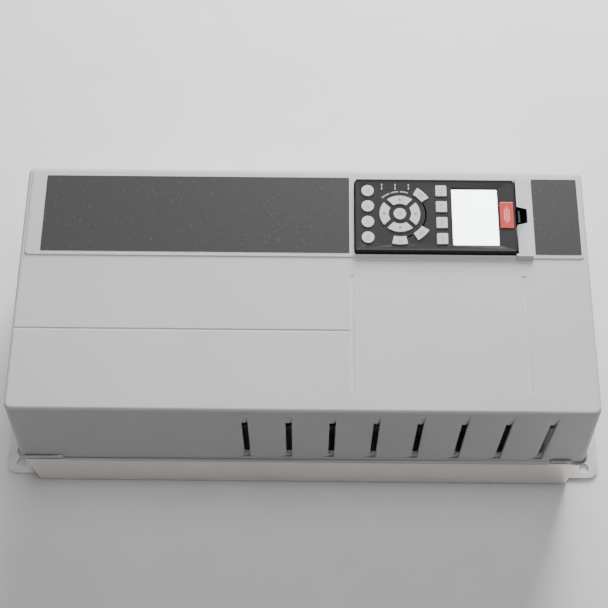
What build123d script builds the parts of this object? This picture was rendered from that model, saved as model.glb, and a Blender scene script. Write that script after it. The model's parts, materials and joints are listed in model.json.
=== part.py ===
from build123d import *
from math import asin, cos, degrees, radians, sin, tan
import os

# Variable frequency drive, lying on its back.
# +X points to the drive's top end, +Y to its left side, +Z out of its front.
# The origin is the middle of the back plate's mounting face. All sizes are in millimetres.
# Places are worked out from three things: the metal base's length and width, the stack of
# parts from the mounting face forward, and the control panel's own size.


def middle(span):
    return (span[0] + span[1]) / 2


def reach(span):
    return span[1] - span[0]


# ---- metal base and back plate ----
base_length = 463.0
base_width = 228.0
base_corner = 3.0
sheet = 1.5
plate_thick = 2.5
hole_out = 16.0            # mounting holes past the base's ends
hole_in = 14.0             # mounting holes in from the base's long sides
hole_radius = 4.25
ear_end = 12.5             # plate past the holes, lengthwise
ear_side = 9.0             # plate past the holes, sideways
ear_corner = 10.0
hole_pitch_x = base_length + 2 * hole_out
hole_pitch_y = base_width - 2 * hole_in
plate_length = hole_pitch_x + 2 * ear_end
ear_width = hole_pitch_y + 2 * ear_side

# ---- stack-up from the mounting face to the front ----
sink_side = 20.0           # heat sink in from the base's long sides
sink_width = base_width - 2 * sink_side
fan_between = 4.0
fan_side = 12.0            # fans in from the heat sink's sides
fan_size = (sink_width - fan_between - 2 * fan_side) / 2
duct_over = 13.5           # top of the fans to the power deck
deck_z = plate_thick + fan_size + duct_over
module_height = 17.0
board_gap = 3.0            # module top to the power board
board_thick = 1.6
board_z = deck_z + module_height + board_gap
board_top = board_z + board_thick
cap_height = 40.0
cap_over = 5.4             # capacitors to the inside of the cover
cover_wall = 3.0
cavity_z = board_top + cap_height + cap_over
depth = cavity_z + cover_wall

# ---- front cover ----
rim_z = 62.0               # lower edge of the cover
cover_end_out = 4.15       # cover's foot past the base's ends
cover_side_in = 1.15       # cover's foot in from the base's long sides
cover_draft = 4.1          # degrees, on all four sides
slope = tan(radians(cover_draft))
cover_length = base_length + 2 * cover_end_out - 2 * (depth - rim_z) * slope
cover_width = base_width - 2 * cover_side_in - 2 * (depth - rim_z) * slope
cover_corner = 5.5
corner_zone = 10.0         # of the cover's length at each end, that stays with the end wall
front_radius = 3.0
cover_fit = 0.6            # cover to base, all round
base_top = rim_z - cover_fit
lip_height = 10.0
lip_top = base_top + lip_height
rim_ledge = 2.1
rim_ledge_thick = 2.0
pry_height = 5.5           # how far the rim steps up at the pry tabs
pry_tabs_in = ((4.65, 38.15), (30.65, 12.15))   # in from the cover's foot, at each end


def grown(size, z):
    """Size of the drafted cover at height z, from its size at the front face."""
    return size + 2 * (depth - z) * slope


rim_end = grown(cover_length, rim_z) / 2
pry_tabs = ((pry_tabs_in[0][0] - rim_end, pry_tabs_in[0][1] - rim_end),
            (rim_end - pry_tabs_in[1][0], rim_end - pry_tabs_in[1][1]))

# ---- control panel's outline and the raised field round it ----
panel_length = 130.0
panel_width = 65.4
panel_proud = 6.1          # face above the cover's front
field_step = 1.0
field_end_in = 3.6         # field in from the cover's ends
field_side_in = 3.5        # field in from the cover's left side
field_near = 3.3           # field's right edge to the panel
field_far = 8.3            # panel to the field's left edge
panel_end_in = 53.7        # panel in from the field's top end
field_x = cover_length / 2 - field_end_in
field_high = cover_width / 2 - field_side_in
field_low = field_high - field_far - panel_width - field_near
field_z = depth + field_step
panel_x = (field_x - panel_end_in - panel_length, field_x - panel_end_in)
panel_y = (field_low + field_near, field_low + field_near + panel_width)
panel_centre = (middle(panel_x), middle(panel_y))

# ---- labels and front lines ----
bridge_gap_x = 1.3         # panel to the bridge
bridge_length = 11.3
bridge_x = (panel_x[1] + bridge_gap_x, panel_x[1] + bridge_gap_x + bridge_length)
label_thick = 0.35
label_corner = 0.8
label_low = field_low + 3.5
label_high = field_high - 4.9
long_label = (12.6 - field_x, panel_x[0] - 4.5)
short_label = (bridge_x[1] + 2.2, field_x - 2.0)
groove_width = 3.2
groove_depth = 0.7
groove_low = 15.9 - cover_width / 2
groove_high = field_low - 14.9
groove_places = (panel_x[0] - 2.3, panel_x[1] + 4.4)
crease_y = 66.7 - cover_width / 2
crease_width = 2.2
crease_depth = 0.7

# ---- side louvres and end slots ----
louvre_count = 8
louvre_pitch = 34.4
louvre_end_in = 30.0       # deep edge of the last one in from the cover's top end
louvre_width = 9.5
louvre_shallow = 0.4       # depth of the dent at its front end
louvre_depth = 2.3         # and further down, where it stays inside the wall
slot_width = 5.0           # opening along the dent's deep edge
slot_notch = 3.0           # depth of the V in the opening's front end
louvre_start = 7.0         # below the front face
louvre_full = 28.0
louvre_foot = 8.0          # above the rim
louvre_end = depth - rim_z - louvre_foot
end_slot_width = 4.5
end_slot_pitch = 12.0
end_slot_side_in = 30.0    # in from the cover's long sides
end_slot_count = int((cover_width - 2 * end_slot_side_in) / end_slot_pitch) + 1
end_slot_low = deck_z + 4
end_slot_high = depth - 16

# ---- cooling ----
fan_corner = 4.0
fan_pitch = fan_size + fan_between
fan_z = plate_thick + fan_size / 2
fan_centres = ((-fan_pitch / 2, fan_z), (fan_pitch / 2, fan_z))
fan_depth = 25.0
fan_rim = 2.0              # frame wall at its thinnest
fan_bore = fan_size / 2 - fan_rim
fan_hole_pitch = fan_size - 8.5
fan_hole = 2.2
blade_gap = 1.7
blade_tip = fan_bore - blade_gap
hub_radius = 18.0
hub_gap = 0.5
hub_edge = 2.0
strut_count = 3
strut_thick = 3.0
strut_width = 5.0
shaft_radius = 2.0
shaft_length = 14.0
shaft_fit = 0.05
blade_count = 7
blade_chord = 20.0
blade_thick = 1.4
blade_pitch = 40.0         # degrees
guard_thick = 1.6
guard_eye = 4.0
guard_rings = 4
guard_step = (fan_bore - 2) / guard_rings
air_low = 6.0              # bottom of the air openings at both ends
air_width = fan_pitch + fan_size + 8
air_top = plate_thick + fan_size + 5.5
sink_base = 10.0
fin_thick = 2.0
fin_count = 24
fin_foot = 6.0

# ---- lengthwise places, from the cable end ----
entry_x = 7.5 - base_length / 2
fan_start = entry_x + 3
sink_start = fan_start + fan_depth + 8
sink_end = base_length / 2 - 9.5
shield_start = entry_x - 3
clamp_x = entry_x + 11
clamp_length = 10.0
earth_width = 8.0
earth_x = clamp_x + clamp_length + 1 + earth_width / 2
block_x = sink_start + 2
block_length = 28.0
board_start = block_x + block_length + 8
tray_x = (panel_x[0] - 0.9, field_x - 12.6)
board_end = tray_x[0] - 2
board_length = board_end - board_start

# ---- cable end ----
cable_pitch = 52.0
cable_radius = 16.0
signal_radius = 8.0
clamp_radius = 13.0
clamp_wall = 2.0
clamp_foot = 8.0
cable_z = deck_z + clamp_radius + 5
entry_thick = 2.0
entry_corner = 4.0
entry_width = sink_width - 20
entry_top = depth - 10
signal_z = entry_top - 14
cable_window = entry_width - 8
cable_window_low = deck_z + 2
cable_window_high = depth - 14
window_corner = 4.0
shield_thick = 2.0

# ---- power parts ----
inverter_size = (board_length - 66, 62.0)
inverter_place = ((board_start + board_end) / 2 - 4, sink_width / 2 - 46)
rectifier_size = (board_length - 81, 45.0)
rectifier_place = (inverter_place[0], 49 - sink_width / 2)
module_corner = 3.0
lug_thick = 6.0
module_screw = 2.4
module_hole_inset = 7.0
module_head = 4.8
module_head_height = 3.0
pin_width = 1.2
pin_pitch = 8.0
pin_end_in = 14.0
pin_side_in = 10.0
thread_fit = 0.1
thread_depth = 7.0
board_width = sink_width + 2
board_corner = 2.0
board_screw = 1.5
board_screw_length = 8.0
board_head = 3.0
board_head_height = 2.0
board_inset = 5.0
pillar_radius = 3.5
recess_length = 1.3        # of a screw's cross recess, per head radius
recess_width = 0.3
coil_radius = 15.0
coil_bore = 7.0
coil_height = 16.0
coil_edge = 2.5
cap_radius = 17.5
cap_pitch = 38.0
cap_edge = 1.5
cap_y = 40 - board_width / 2
coil_x = board_start + 17
coil_places = ((coil_x, cap_y - cap_pitch / 2), (coil_x, cap_y + cap_pitch / 2))
cap_start = coil_x + coil_radius + 1.5 + cap_radius
cap_columns = int((board_end - board_inset - cap_radius - cap_start) / cap_pitch) + 1
cap_x = cap_start + (cap_columns - 1) / 2 * cap_pitch
sensor_x = board_start + 22
sensor_size = (20.0, 22.0, 30.0)
bar_width = 10.0
bar_thick = 2.0
bar_fit = 1.0
bar_height = 14.0          # bar centre above the power board
link_height = 22.4         # top of the link bars above the power board
core_stack = 40.0
core_leg = 18.0
core_yoke = 10.0
window_width = 16.0
window_height = 34.0
core_length = core_leg + 2 * window_width + 2 * core_yoke
core_height = window_height + 2 * core_yoke
winding_x = 14.5
winding_y = 12.0
winding_fit = 0.5
winding_corner = 6.0
choke_y = 42 - sink_width / 2
choke_places = ((sink_end - 44 - core_length - 8, choke_y), (sink_end - 44, choke_y))

# ---- terminals ----
pole_pitch = 26.0
pole_bore = 7.0
pole_depth = 16.0
pole_screw = 2.9
pole_screw_length = 5.0
pole_head = 4.2
pole_head_height = 4.0
pole_well = 12.0
block_width = 3 * pole_pitch
block_height = 40.0
block_edge = 2.0
block_y = sink_width / 2 - 36
earth_length = sink_width - 28
earth_thick = 4.0
earth_screws = 8
earth_screw = 1.9
earth_pitch = (earth_length - 34) / (earth_screws - 1)

# ---- control panel ----
panel_corner = 2.5
panel_thick = 22.7
panel_front_height = 12.1
panel_wall = 1.8
panel_edge = 0.8
face_thick = 2.0
face_border = 1.7
face_recess = 0.3
face_z = depth + panel_proud
face_floor_z = face_z - face_recess
panel_split_z = face_z - panel_front_height
panel_back_z = face_z - panel_thick
display_x = (panel_x[0] + 78.6, panel_x[1] - 14.3)
display_y = (panel_y[0] + 5.8, panel_y[1] - 8.7)
display_corner = 1.0
display_sink = 0.4
display_thick = 1.3
display_tuck = 2.0         # module past the window, all round
badge_x = (panel_x[1] - 12.9, panel_x[1] - 1.9)
badge_y = (middle(panel_y) - 11.7, middle(panel_y) + 12.0)
badge_thick = 0.8
badge_corner = 0.8
dome_height = 1.2
dome_radius = 2.6
dome_gap = 0.9             # a pressed key to its dome
plug_size = (14.0, 16.0)
plug_place = (panel_x[0] + 24.1, middle(panel_y) + 1.1)
plug_edge = 1.0

# ---- keys ----
key_proud = 1.0
key_travel = 0.8
key_gap = 0.35
key_flange = 0.8           # how far the flange reaches past the cap
key_flange_thick = 1.4
key_flange_gap = 0.3       # flange to the face's underside
key_bottom = 5.2           # below the face
key_edge = 0.4
plunger_radius = 2.2
panel_board_z = face_z - key_bottom - key_travel - dome_gap - dome_height - board_thick
panel_board_top = panel_board_z + board_thick
round_key = 5.15
round_x = panel_x[0] + 10.3
round_names = ("key_reset", "key_auto", "key_off", "key_hand")
round_margin = (11.7, 11.3)      # outer keys in from the panel's sides
soft_size = (9.0, 9.9)
soft_corner = 0.8
soft_x = panel_x[0] + 70.0
soft_names = ("key_alarm_log", "key_main_menu", "key_quick_menu", "key_status")
soft_margin = (11.0, 10.9)


def key_rows(names, margin):
    """Evenly spaced rows across the panel: each key's name and the middle of its row."""
    first = panel_y[0] + margin[0]
    pitch = (panel_width - sum(margin)) / (len(names) - 1)
    return {name: first + i * pitch for i, name in enumerate(names)}


round_y = key_rows(round_names, round_margin)
soft_y = key_rows(soft_names, soft_margin)
ring_centre = (panel_x[0] + 36.2, middle(panel_y) + 0.5)
arrow_inner = 9.0
arrow_outer = 16.5
arrow_gap = 3.4
arrow_angle = {"key_up": 0.0, "key_left": 90.0, "key_down": 180.0, "key_right": 270.0}
outer_inner = 20.5
outer_outer = 27.8
outer_half = 13.6          # degrees each side
outer_angle = {"key_back": 45.0, "key_cancel": -45.4, "key_info": -90.6}
light_radius = 20.4
light_width = 1.2
light_arcs = ((134.8, 113.2), (109.5, 92.5), (88.5, 70.5))

# ---- cradle ----
cradle_fit = 0.5           # panel to cradle pocket
cradle_under = 0.4         # panel's back to the cradle's floor
cradle_wall = 2.0
cradle_floor = 2.0
cradle_floor_z = panel_back_z - cradle_under - cradle_floor
hole_fit = 0.7             # panel to the hole in the cover
bridge_foot_x = panel_x[1] - 0.9
bridge_top = 4.3           # above the cover's front
bridge_low = (field_low - 1.8, field_low + 0.6)        # foot and top of its sloped near end
bridge_high = (panel_y[1] + 3.8, panel_y[1] + 2.0)
bridge_gap = 0.3
notch_x = bridge_x[1] - 3.2
notch_y = middle(panel_y) + 0.7
notch_near = 8.8           # half span next to the panel
notch_far = 6.2
notch_floor_z = panel_back_z + 2.6
latch_travel = 1.5
latch_x = (panel_x[1] + latch_travel + 0.5, panel_x[1] + latch_travel + 2.7)
latch_half = 5.5
latch_z = (notch_floor_z + 2, depth + 2.8)
tongue_start = panel_x[1] - 4.9
tongue_half = 3.0
tongue_z = (latch_z[0] + 1, latch_z[0] + 4)
latch_gap = 0.3

# ---- control parts under the cradle ----
card_under = 19.4          # card's top below the cradle
card_top = cradle_floor_z - card_under
card_z = card_top - board_thick
card_gap = 4.0
card_inset = 6.0
card_posts_in = 15.0
tray_thick = 2.0
tray_z = card_z - card_gap - tray_thick
tray_y = (panel_y[0] - 20.2, panel_y[1] + 4.4)
tray_rim = 4.0
tray_corner = 3.0
strip_length = 50.0
strip_width = 10.0
strip_height = 10.4
strip_y = panel_y[0] - 3.2
strip_places = (panel_x[0] + 48.1, panel_x[0] + 104.1)
relay_place = panel_x[0] + 146.1
relay_length = 20.0
strip_pole = 5.0
socket_wall = 3.0
socket_under = 2.0         # socket's top below the cradle
socket_height = card_under - socket_under
plug_fit = 0.35
plug_bottom = card_top + 6.4


def save(piece, name):
    """Label a finished piece and write it as its own STEP file."""
    piece.part.label = name
    export_step(piece.part, f"parts/{name}.step")


os.makedirs("parts", exist_ok=True)


# ======================= metal base =======================

with BuildPart() as back_plate:
    with BuildSketch():
        RectangleRounded(base_length, base_width, base_corner)
        RectangleRounded(plate_length, ear_width, ear_corner)
        with GridLocations(hole_pitch_x, hole_pitch_y, 2, 2):
            Circle(hole_radius, mode=Mode.SUBTRACT)
    extrude(amount=plate_thick)
save(back_plate, "back_plate")

# Folded tub: outer walls, a shelf under the cover's rim and a lip that locates the cover.
lip_length = grown(cover_length, lip_top) - 2 * (cover_wall + cover_fit)
lip_width = grown(cover_width, lip_top) - 2 * (cover_wall + cover_fit)
with BuildPart() as base_housing:
    with BuildSketch(Plane.XY.offset(plate_thick)):
        RectangleRounded(base_length, base_width, base_corner)
    extrude(amount=base_top - plate_thick)
    with BuildSketch(Plane.XY.offset(plate_thick)):
        RectangleRounded(base_length - 2 * sheet, base_width - 2 * sheet, base_corner - sheet)
    extrude(amount=base_top - sheet - plate_thick, mode=Mode.SUBTRACT)
    with BuildSketch(Plane.XY.offset(base_top)):
        RectangleRounded(lip_length, lip_width, base_corner)
    extrude(amount=lip_height)
    with BuildSketch(Plane.XY.offset(base_top - sheet)):
        RectangleRounded(lip_length - 2 * sheet, lip_width - 2 * sheet, base_corner - sheet)
    extrude(amount=sheet + lip_height, mode=Mode.SUBTRACT)
    with BuildSketch(Plane.YZ):
        with Locations((0, (air_low + lip_top + sheet) / 2)):
            Rectangle(air_width, lip_top + sheet - air_low)
    extrude(amount=base_length, both=True, mode=Mode.SUBTRACT)
save(base_housing, "base_housing")

# ======================= cooling =======================

inverter_holes = [(inverter_place[0] + i * (inverter_size[0] / 2 - module_hole_inset),
                   inverter_place[1] + j * (inverter_size[1] / 2 - module_hole_inset))
                  for i in (-1, 1) for j in (-1, 1)]
rectifier_holes = [(rectifier_place[0] + i * (rectifier_size[0] / 2 - module_hole_inset),
                    rectifier_place[1]) for i in (-1, 1)]
fin_pitch = (sink_width - fin_thick) / (fin_count - 1)
fin_height = deck_z - sink_base - fin_foot
with BuildPart() as heat_sink:
    with BuildSketch(Plane.YZ.offset(sink_start)):
        with Locations((0, deck_z - sink_base / 2)):
            Rectangle(sink_width, sink_base)
        with Locations((0, fin_foot + fin_height / 2)):
            with GridLocations(fin_pitch, fin_height, fin_count, 1):
                Rectangle(fin_thick, fin_height)
    extrude(amount=sink_end - sink_start)
    with Locations(*[(x, y, deck_z) for x, y in inverter_holes + rectifier_holes]):
        Hole(module_screw + thread_fit, depth=thread_depth)
save(heat_sink, "heat_sink")

motor_x = fan_start + fan_depth - strut_thick
with BuildPart() as fan_frames:
    with BuildSketch(Plane.YZ.offset(fan_start)):
        with Locations(*fan_centres):
            RectangleRounded(fan_size, fan_size, fan_corner)
            Circle(fan_bore, mode=Mode.SUBTRACT)
            with GridLocations(fan_hole_pitch, fan_hole_pitch, 2, 2):
                Circle(fan_hole, mode=Mode.SUBTRACT)
    extrude(amount=fan_depth)
    with BuildSketch(Plane.YZ.offset(motor_x)):
        with Locations(*fan_centres):
            Circle(hub_radius)
            with PolarLocations(fan_bore / 2, strut_count, start_angle=90):
                Rectangle(fan_bore + sheet, strut_width)
    extrude(amount=strut_thick)
    with BuildSketch(Plane.YZ.offset(motor_x)):
        with Locations(*fan_centres):
            Circle(shaft_radius)
    extrude(amount=-shaft_length)
save(fan_frames, "fan_frames")


def fan_rotor(centre_y):
    """One impeller: a hub with a blind bore for the motor's shaft, and flat pitched blades."""
    hub_x = fan_start + sheet
    hub_length = motor_x - hub_gap - hub_x
    blade_span = blade_tip - hub_radius + sheet
    with BuildPart() as rotor:
        with BuildSketch(Plane.YZ.offset(hub_x)):
            with Locations((centre_y, fan_z)):
                Circle(hub_radius)
        extrude(amount=hub_length)
        fillet(edges().filter_by(GeomType.CIRCLE).group_by(Axis.X)[0], hub_edge)
        for blade in range(blade_count):
            turn = radians(360 / blade_count * blade)
            outward = Vector(0, cos(turn), sin(turn))
            root = Vector(hub_x + hub_length / 2, centre_y, fan_z) + outward * (hub_radius - sheet)
            along = Vector(1, 0, 0).rotate(Axis((0, 0, 0), outward), blade_pitch)
            with BuildSketch(Plane(origin=root, x_dir=along, z_dir=outward)):
                Rectangle(blade_chord, blade_thick)
            extrude(amount=blade_span)
        with BuildSketch(Plane.YZ.offset(motor_x)):
            with Locations((centre_y, fan_z)):
                Circle(shaft_radius + shaft_fit)
        extrude(amount=-shaft_length - hub_gap, mode=Mode.SUBTRACT)
    return rotor


save(fan_rotor(-fan_pitch / 2), "fan_rotor_right")
save(fan_rotor(fan_pitch / 2), "fan_rotor_left")

with BuildPart() as fan_guards:
    with BuildSketch(Plane.YZ.offset(fan_start - guard_thick)):
        with Locations(*fan_centres):
            for ring in range(1, guard_rings + 1):
                Circle(ring * guard_step + guard_thick / 2)
                Circle(ring * guard_step - guard_thick / 2, mode=Mode.SUBTRACT)
            for turn in (45, 135):
                Rectangle(fan_hole_pitch * 2 ** 0.5, 2 * guard_thick, rotation=turn)
            with GridLocations(fan_hole_pitch, fan_hole_pitch, 2, 2):
                Circle(guard_eye)
            with GridLocations(fan_hole_pitch, fan_hole_pitch, 2, 2):
                Circle(fan_hole, mode=Mode.SUBTRACT)
    extrude(amount=guard_thick)
save(fan_guards, "fan_guards")

# ======================= power parts =======================


def power_module(size, place, holes):
    """A flat semiconductor module: moulded body, sunk screw lugs and two rows of pins."""
    with BuildPart() as module:
        with BuildSketch(Plane.XY.offset(deck_z)):
            with Locations(place):
                RectangleRounded(*size, module_corner)
        extrude(amount=module_height)
        chamfer(faces().sort_by(Axis.Z)[-1].edges(), 1)
        with Locations(*[(x, y, deck_z + module_height) for x, y in holes]):
            CounterBoreHole(module_screw + thread_fit, module_head + 1, module_height - lug_thick)
        with BuildSketch(Plane.XY.offset(deck_z + module_height)):
            with Locations(place):
                with GridLocations(pin_pitch, size[1] - 2 * pin_side_in,
                                   int((size[0] - 2 * pin_end_in) / pin_pitch) + 1, 2):
                    Rectangle(pin_width, pin_width)
        extrude(amount=board_gap)
    return module


save(power_module(inverter_size, inverter_place, inverter_holes), "inverter_module")
save(power_module(rectifier_size, rectifier_place, rectifier_holes), "rectifier_module")


def screw_group(sets, shank_radius, shank_length, head_radius, head_height):
    """Pan-head screws with a cross recess: sets of (places, height of the seat)."""
    with BuildPart() as group:
        for places, seat_z in sets:
            with BuildSketch(Plane.XY.offset(seat_z)):
                with Locations(*places):
                    Circle(shank_radius)
            extrude(amount=-shank_length)
            with BuildSketch(Plane.XY.offset(seat_z)):
                with Locations(*places):
                    Circle(head_radius)
            extrude(amount=head_height)
            with BuildSketch(Plane.XY.offset(seat_z + head_height)):
                with Locations(*places):
                    Rectangle(head_radius * recess_length, head_radius * recess_width)
                    Rectangle(head_radius * recess_width, head_radius * recess_length)
            extrude(amount=-head_height / 2, mode=Mode.SUBTRACT)
    return group


module_screws = screw_group([(inverter_holes + rectifier_holes, deck_z + lug_thick)],
                            module_screw, lug_thick + thread_depth - 1, module_head,
                            module_head_height)

board_holes = [(x, y) for x in (board_start + board_inset, board_end - board_inset)
               for y in (-board_width / 2 + board_inset, board_width / 2 - board_inset)]
tray_holes = [(x, y) for x in (tray_x[0] + board_inset, tray_x[1] - board_inset)
              for y in (tray_y[0] + board_inset, tray_y[1] - board_inset)]
with BuildPart() as power_board:
    with BuildSketch(Plane.XY.offset(board_z)):
        with Locations(((board_start + board_end) / 2, 0)):
            RectangleRounded(board_length, board_width, board_corner)
        with Locations(*board_holes):
            Circle(board_screw + thread_fit, mode=Mode.SUBTRACT)
    extrude(amount=board_thick)
save(power_board, "power_board")

with BuildPart() as board_pillars:
    for places, height in ((board_holes, board_z), (tray_holes, tray_z)):
        with BuildSketch(Plane.XY.offset(deck_z)):
            with Locations(*places):
                RegularPolygon(pillar_radius, 6)
                Circle(board_screw + thread_fit, mode=Mode.SUBTRACT)
        extrude(amount=height - deck_z)
save(board_pillars, "board_pillars")

board_screws = screw_group([(board_holes, board_top), (tray_holes, tray_z + tray_thick)],
                           board_screw, board_screw_length, board_head, board_head_height)

with BuildPart() as dc_capacitors:
    with BuildSketch(Plane.XY.offset(board_top)):
        with Locations((cap_x, cap_y)):
            with GridLocations(cap_pitch, cap_pitch, cap_columns, 2):
                Circle(cap_radius)
    extrude(amount=cap_height)
    fillet(edges().filter_by(GeomType.CIRCLE).group_by(Axis.Z)[-1], cap_edge)
save(dc_capacitors, "dc_capacitors")

with BuildPart() as filter_coils:
    with BuildSketch(Plane.XY.offset(board_top)):
        with Locations(*coil_places):
            Circle(coil_radius)
            Circle(coil_bore, mode=Mode.SUBTRACT)
    extrude(amount=coil_height)
    fillet(edges().filter_by(GeomType.CIRCLE), coil_edge)
save(filter_coils, "filter_coils")

motor_poles = [block_y + i * pole_pitch for i in (-1, 0, 1)]
bar_z = board_top + bar_height
with BuildPart() as current_sensors:
    with BuildSketch(Plane.XY.offset(board_top)):
        with Locations(*[(sensor_x, y) for y in motor_poles]):
            Rectangle(sensor_size[0], sensor_size[1])
    extrude(amount=sensor_size[2])
    with BuildSketch(Plane.YZ.offset(sensor_x)):
        with Locations(*[(y, bar_z) for y in motor_poles]):
            Rectangle(bar_width + 2 * bar_fit, bar_thick + 2 * bar_fit)
    extrude(amount=sensor_size[0], both=True, mode=Mode.SUBTRACT)
save(current_sensors, "current_sensors")

with BuildPart() as choke_cores:
    for x, y in choke_places:
        with BuildSketch(Plane.XZ.offset(-y)):
            with Locations((x, deck_z + core_height / 2)):
                Rectangle(core_length, core_height)
                with GridLocations(core_leg + window_width, window_height, 2, 1):
                    Rectangle(window_width, window_height, mode=Mode.SUBTRACT)
        extrude(amount=core_stack / 2, both=True)
save(choke_cores, "choke_cores")

with BuildPart() as choke_windings:
    with BuildSketch(Plane.XY.offset(deck_z + core_yoke + winding_fit)):
        with Locations(*choke_places):
            RectangleRounded(core_leg + 2 * winding_x, core_stack + 2 * winding_y,
                             winding_corner)
            Rectangle(core_leg + 2 * winding_fit, core_stack + 2 * winding_fit, mode=Mode.SUBTRACT)
    extrude(amount=window_height - 2 * winding_fit)
save(choke_windings, "choke_windings")

# Copper bars: three from the board through the current sensors to the motor terminals,
# two from the capacitors towards the first choke.
riser_x = choke_places[0][0] - core_length / 2 - bar_fit - bar_thick
with BuildPart() as busbars:
    with BuildSketch(Plane.XZ):
        with BuildLine():
            start = block_x + block_length
            bend = sensor_x + sensor_size[0]
            Polyline((start, bar_z - bar_thick / 2), (start, bar_z + bar_thick / 2),
                     (bend, bar_z + bar_thick / 2), (bend, board_top),
                     (bend - bar_thick, board_top), (bend - bar_thick, bar_z - bar_thick / 2),
                     close=True)
        make_face()
    motor_bar = extrude(amount=bar_width / 2, both=True, mode=Mode.PRIVATE)
    with Locations(*[(0, y, 0) for y in motor_poles]):
        add(motor_bar)
    with BuildSketch(Plane.XZ):
        with BuildLine():
            start = cap_start + (cap_columns - 1) * cap_pitch + cap_radius + bar_fit
            Polyline((start, board_top), (riser_x + bar_thick, board_top),
                     (riser_x + bar_thick, board_top + link_height),
                     (riser_x, board_top + link_height),
                     (riser_x, board_top + bar_thick), (start, board_top + bar_thick), close=True)
        make_face()
    link_bar = extrude(amount=bar_width / 2, both=True, mode=Mode.PRIVATE)
    with Locations((0, choke_places[0][1] - bar_height, 0), (0, choke_places[0][1] + bar_height, 0)):
        add(link_bar)
save(busbars, "busbars")

# ======================= terminals and cable end =======================


def terminal_block(centre_y):
    """Three-pole power terminal: wire funnels at the cable end, screw wells from the front."""
    poles = [centre_y + i * pole_pitch for i in (-1, 0, 1)]
    with BuildPart() as block:
        with BuildSketch(Plane.XY.offset(deck_z)):
            with Locations((block_x + block_length / 2, centre_y)):
                Rectangle(block_length, block_width)
        extrude(amount=block_height)
        chamfer(faces().sort_by(Axis.Z)[-1].edges().filter_by(Axis.Y), block_edge)
        with BuildSketch(Plane.YZ.offset(block_x)):
            with Locations(*[(y, cable_z) for y in poles]):
                Circle(pole_bore)
        extrude(amount=pole_depth, mode=Mode.SUBTRACT)
        with Locations(*[(block_x + pole_depth / 2, y, deck_z + block_height) for y in poles]):
            CounterBoreHole(pole_screw + thread_fit, pole_head + thread_fit, pole_well,
                            depth=block_height / 2)
    return block


save(terminal_block(-block_y), "mains_terminals")
save(terminal_block(block_y), "motor_terminals")

pole_places = [(block_x + pole_depth / 2, side * block_y + i * pole_pitch)
               for side in (-1, 1) for i in (-1, 0, 1)]
earth_places = [(earth_x, (i - (earth_screws - 1) / 2) * earth_pitch) for i in range(earth_screws)]
terminal_screws = screw_group([(pole_places, deck_z + block_height - pole_well)],
                              pole_screw, pole_screw_length, pole_head, pole_head_height)
with BuildPart() as inner_screws:
    for group in (module_screws, board_screws, terminal_screws):
        add(group.part)
save(inner_screws, "inner_screws")

with BuildPart() as shield_plate:
    with BuildSketch(Plane.XY.offset(deck_z - shield_thick)):
        with Locations(((shield_start + sink_start) / 2, 0)):
            Rectangle(sink_start - shield_start, sink_width)
    extrude(amount=shield_thick)
    with BuildSketch(Plane.XY.offset(plate_thick)):
        with Locations(((shield_start + sink_start) / 2, 0)):
            with GridLocations(1, sink_width - shield_thick, 1, 2):
                Rectangle(sink_start - shield_start, shield_thick)
    extrude(amount=deck_z - shield_thick - plate_thick)
save(shield_plate, "shield_plate")

with BuildPart() as earth_bar:
    with BuildSketch(Plane.XY.offset(deck_z)):
        with Locations((earth_x, 0)):
            Rectangle(earth_width, earth_length)
        with Locations(*earth_places):
            Circle(earth_screw, mode=Mode.SUBTRACT)
    extrude(amount=earth_thick)
save(earth_bar, "earth_bar")

cable_places = [i * cable_pitch for i in (-1, 0, 1)]
with BuildPart() as cable_clamps:
    with BuildSketch(Plane.YZ.offset(clamp_x)):
        outer = clamp_radius + clamp_wall
        for y in cable_places:
            with Locations((y, cable_z)):
                Circle(outer)
            with Locations((y, (deck_z + cable_z) / 2)):
                Rectangle(2 * outer, cable_z - deck_z)
            with Locations((y, deck_z + clamp_wall / 2)):
                Rectangle(2 * (outer + clamp_foot), clamp_wall)
            with Locations((y, cable_z)):
                Circle(clamp_radius, mode=Mode.SUBTRACT)
            with Locations((y, (deck_z + cable_z) / 2)):
                Rectangle(2 * clamp_radius, cable_z - deck_z, mode=Mode.SUBTRACT)
    extrude(amount=clamp_length)
save(cable_clamps, "cable_clamps")

with BuildPart() as entry_plate:
    with BuildSketch(Plane.YZ.offset(entry_x)):
        with Locations((0, (deck_z + entry_top) / 2)):
            Rectangle(entry_width, entry_top - deck_z)
        with Locations(*[(y, cable_z) for y in cable_places]):
            Circle(cable_radius, mode=Mode.SUBTRACT)
        with Locations((-cable_pitch / 2, signal_z), (cable_pitch / 2, signal_z)):
            Circle(signal_radius, mode=Mode.SUBTRACT)
    extrude(amount=entry_thick)
    fillet(edges().filter_by(Axis.X).group_by(Axis.Z)[-1], entry_corner)
save(entry_plate, "entry_plate")

# ======================= control parts =======================

with BuildPart() as control_tray:
    with BuildSketch(Plane.XY.offset(tray_z)):
        with Locations((middle(tray_x), middle(tray_y))):
            RectangleRounded(reach(tray_x), reach(tray_y), tray_corner)
        with Locations(*tray_holes):
            Circle(board_screw + thread_fit, mode=Mode.SUBTRACT)
    extrude(amount=tray_thick)
    with BuildSketch(Plane.XY.offset(tray_z + tray_thick)):
        with Locations((middle(tray_x), middle(tray_y))):
            RectangleRounded(reach(tray_x), reach(tray_y), tray_corner)
            RectangleRounded(reach(tray_x) - 2 * sheet, reach(tray_y) - 2 * sheet, tray_corner - sheet,
                             mode=Mode.SUBTRACT)
    extrude(amount=tray_rim)
    with BuildSketch(Plane.XY.offset(tray_z + tray_thick)):
        with Locations((middle(tray_x), middle(tray_y))):
            with GridLocations(reach(tray_x) - 2 * card_posts_in, reach(tray_y) - 2 * card_posts_in, 2, 2):
                Circle(pillar_radius)
    extrude(amount=card_gap)
save(control_tray, "control_tray")

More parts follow.
